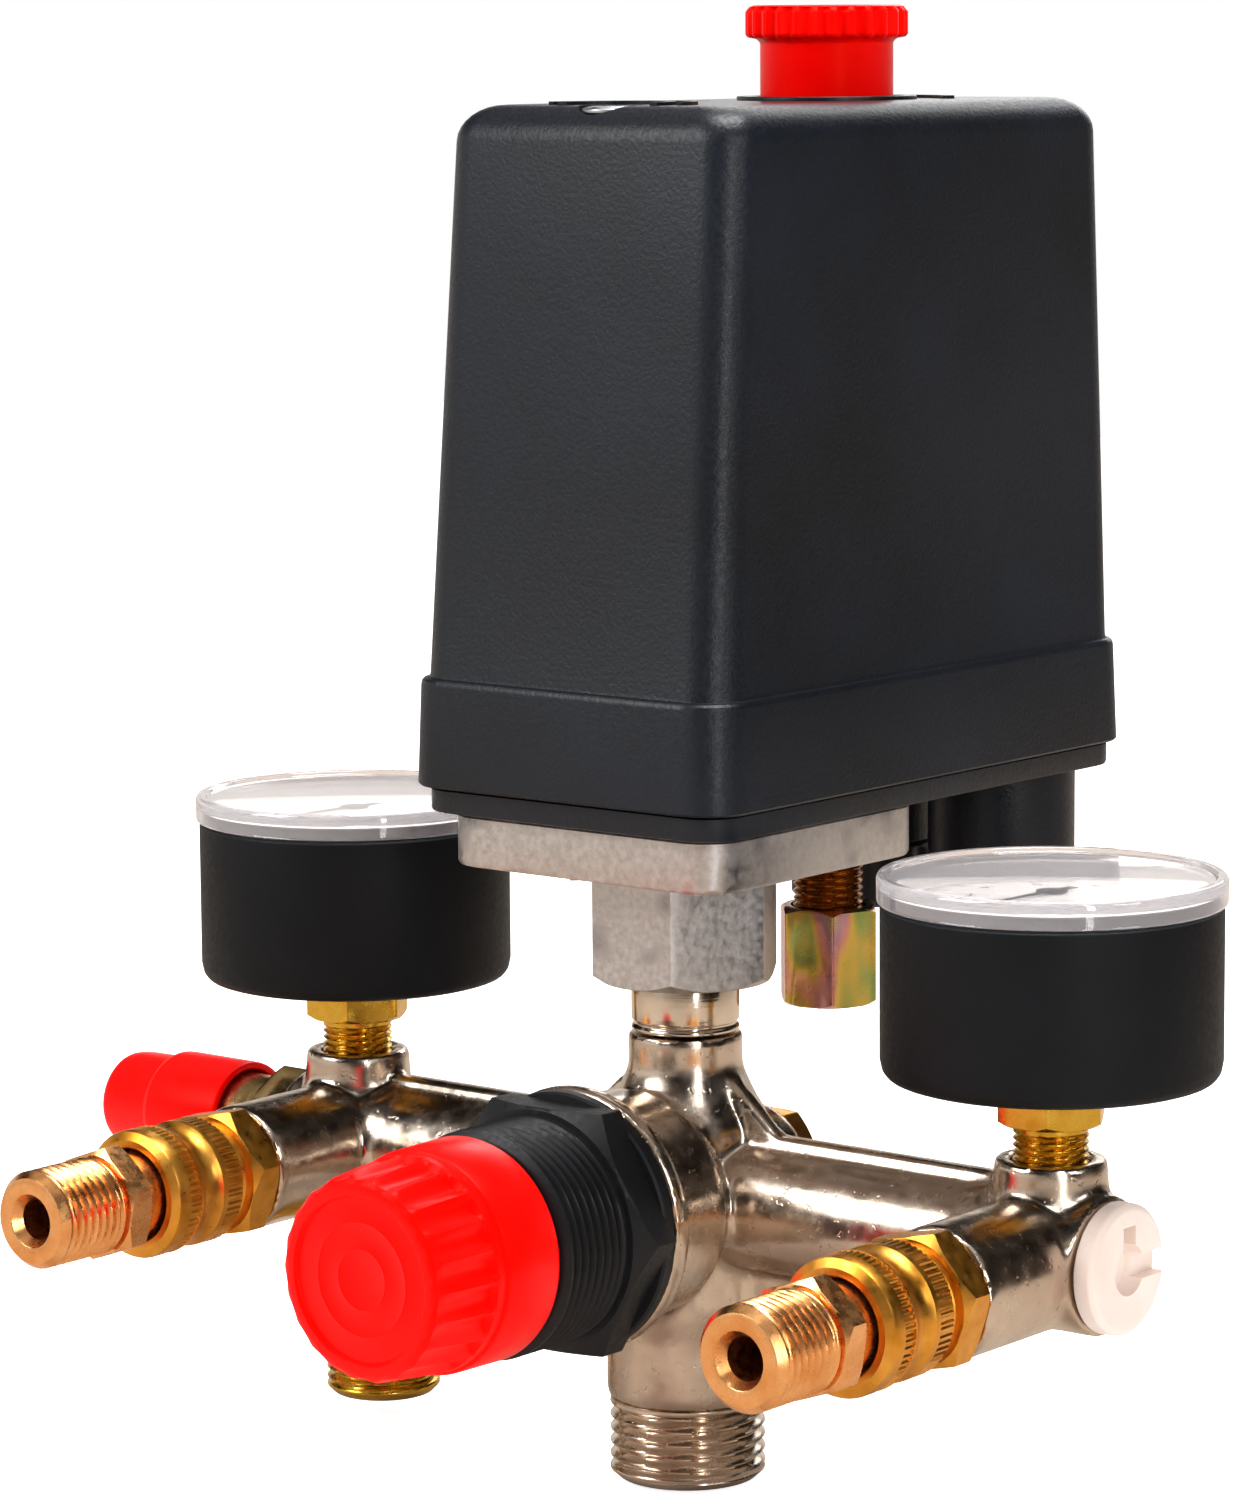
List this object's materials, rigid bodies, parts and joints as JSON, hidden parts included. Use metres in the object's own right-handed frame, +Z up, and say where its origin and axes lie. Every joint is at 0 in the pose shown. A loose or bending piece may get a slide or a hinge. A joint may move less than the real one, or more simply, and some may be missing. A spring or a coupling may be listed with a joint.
{
  "type": "air compressor pressure switch",
  "caption": "Air-compressor pressure switch with tapered cover, pull knob, die-cast manifold, regulator, dial gauges, relief valve and quick couplers.",
  "frame": {"origin": "centre of the tank thread's end face, on the thread's axis", "axes": "+Z up the tank port towards the switch housing and on/off knob, +X along the manifold bar towards the blanking plug, -Y towards the regulator knob and the coupler nipples"},
  "size_m": [0.1867, 0.1337, 0.1967],
  "materials": {
    "black_abs": "fine-grain moulded black ABS",
    "red_abs": "bright red moulded ABS",
    "black_nylon": "moulded black nylon",
    "nickel": "nickel-plated die-cast zinc",
    "cast_zinc": "raw die-cast zinc",
    "brass": "turned brass",
    "steel": "zinc-plated steel",
    "yellow_zinc": "yellow-passivated steel",
    "black_paint": "black painted steel",
    "clear_lens": "clear polycarbonate",
    "white_nylon": "off-white nylon",
    "white_paint": "white enamel",
    "rubber": "nitrile rubber",
    "bakelite": "brown phenolic moulding",
    "copper": "copper and phosphor bronze"
  },
  "bodies": {
    "root": {"manifold_body": "nickel", "lower_outlet_nipple": "brass", "blanking_plug": "white_nylon", "safety_valve_body": "brass", "safety_valve_spring": "steel", "regulator_diaphragm": "rubber", "regulator_bonnet": "black_nylon", "regulator_spring": "steel", "poppet_spring": "steel", "valve_plug": "brass", "switch_nipple": "nickel", "diaphragm_flange": "cast_zinc", "diaphragm": "rubber", "flange_screw_1": "steel", "flange_screw_2": "steel", "flange_screw_3": "steel", "flange_screw_4": "steel", "switch_base": "black_abs", "cable_gland_nut_left": "black_nylon", "cable_gland_nut_right": "black_nylon", "switch_cover": "black_abs", "cover_screw": "steel", "chassis_frame": "steel", "lever_pin": "steel", "range_spring": "steel", "range_bolt": "yellow_zinc", "contact_block": "bakelite", "fixed_contact_left": "copper", "fixed_contact_right": "copper", "unloader_body": "brass", "unloader_nut": "yellow_zinc", "gauge_stem_left": "brass", "gauge_case_left": "black_paint", "gauge_dial_left": "white_paint", "gauge_lens_left": "clear_lens", "bourdon_tube_left": "copper", "coupler_body_left": "brass", "gauge_stem_right": "brass", "gauge_case_right": "black_paint", "gauge_dial_right": "white_paint", "gauge_lens_right": "clear_lens", "bourdon_tube_right": "copper", "coupler_body_right": "brass"},
    "on_off": {"on_off_knob": "red_abs"},
    "adjusting_screw": {"adjusting_screw": "steel"},
    "regulator_knob": {"regulator_knob": "red_abs"},
    "spring_plate": {"spring_plate": "steel"},
    "regulator_poppet": {"regulator_poppet": "brass"},
    "relief_pull": {"safety_valve_cap": "red_abs", "safety_valve_stem": "steel"},
    "lever": {"lever_plate": "steel", "moving_contact": "copper"},
    "pressure_piston": {"pressure_piston": "steel"},
    "unloader_pin": {"unloader_pin": "steel"},
    "pointer_left": {"gauge_pointer_left": "black_paint"},
    "sleeve_left": {"coupler_sleeve_left": "brass"},
    "nipple_left": {"coupler_nipple_left": "brass"},
    "pointer_right": {"gauge_pointer_right": "black_paint"},
    "sleeve_right": {"coupler_sleeve_right": "brass"},
    "nipple_right": {"coupler_nipple_right": "brass"}
  },
  "joints": [
    {"name": "on_off_slide", "type": "slide", "parent": "root", "child": "on_off", "axis": [0, 0, 1], "range_m": [-0.006, 0]},
    {"name": "pressure_adjust", "type": "hinge", "parent": "root", "child": "adjusting_screw", "pos_m": [0, -0.04, 0.0395], "axis": [0, -1, 0], "range_deg": [-540, 540]},
    {"name": "knob_lock", "type": "slide", "parent": "adjusting_screw", "child": "regulator_knob", "axis": [0, -1, 0], "range_m": [0, 0.003]},
    {"name": "spring_plate_travel", "type": "slide", "parent": "root", "child": "spring_plate", "axis": [0, 1, 0], "range_m": [-0.0024, 0.0024], "deforming": ["regulator_spring"]},
    {"name": "poppet_lift", "type": "slide", "parent": "root", "child": "regulator_poppet", "axis": [0, 1, 0], "range_m": [0, 0.001], "stiffness_N_per_m": 300, "springref_m": -0.002, "deforming": ["poppet_spring"]},
    {"name": "pointer_left_turn", "type": "hinge", "parent": "root", "child": "pointer_left", "pos_m": [-0.059, 0, 0.082], "axis": [0, 0, -1], "range_deg": [0, 270]},
    {"name": "sleeve_left_slide", "type": "slide", "parent": "root", "child": "sleeve_left", "axis": [0, 1, 0], "range_m": [0, 0.002], "stiffness_N_per_m": 400, "springref_m": -0.003},
    {"name": "nipple_left_pull", "type": "slide", "parent": "root", "child": "nipple_left", "axis": [0, -1, 0], "range_m": [0, 0.025]},
    {"name": "pointer_right_turn", "type": "hinge", "parent": "root", "child": "pointer_right", "pos_m": [0.059, 0, 0.082], "axis": [0, 0, -1], "range_deg": [0, 270]},
    {"name": "sleeve_right_slide", "type": "slide", "parent": "root", "child": "sleeve_right", "axis": [0, 1, 0], "range_m": [0, 0.002], "stiffness_N_per_m": 400, "springref_m": -0.003},
    {"name": "nipple_right_pull", "type": "slide", "parent": "root", "child": "nipple_right", "axis": [0, -1, 0], "range_m": [0, 0.025]},
    {"name": "relief_slide", "type": "slide", "parent": "root", "child": "relief_pull", "axis": [-1, 0, 0], "range_m": [0, 0.0025], "stiffness_N_per_m": 1500, "springref_m": -0.004, "deforming": ["safety_valve_spring"]},
    {"name": "lever_swing", "type": "hinge", "parent": "root", "child": "lever", "pos_m": [0, -0.017, 0.1013], "axis": [1, 0, 0], "range_deg": [0, 2], "stiffness_Nm_per_rad": 4, "springref_deg": -2.86, "deforming": ["range_spring"]},
    {"name": "piston_lift", "type": "slide", "parent": "root", "child": "pressure_piston", "axis": [0, 0, 1], "range_m": [0, 0.00065]},
    {"name": "unloader_pin_lift", "type": "slide", "parent": "root", "child": "unloader_pin", "axis": [0, 0, 1], "range_m": [0, 0.0018]}
  ],
  "couplings": [
    {"joint": "spring_plate_travel", "follows": "pressure_adjust", "m_per_rad": 0.00023873},
    {"joint": "piston_lift", "follows": "lever_swing", "m_per_rad": 0.017},
    {"joint": "unloader_pin_lift", "follows": "lever_swing", "m_per_rad": 0.049}
  ]
}
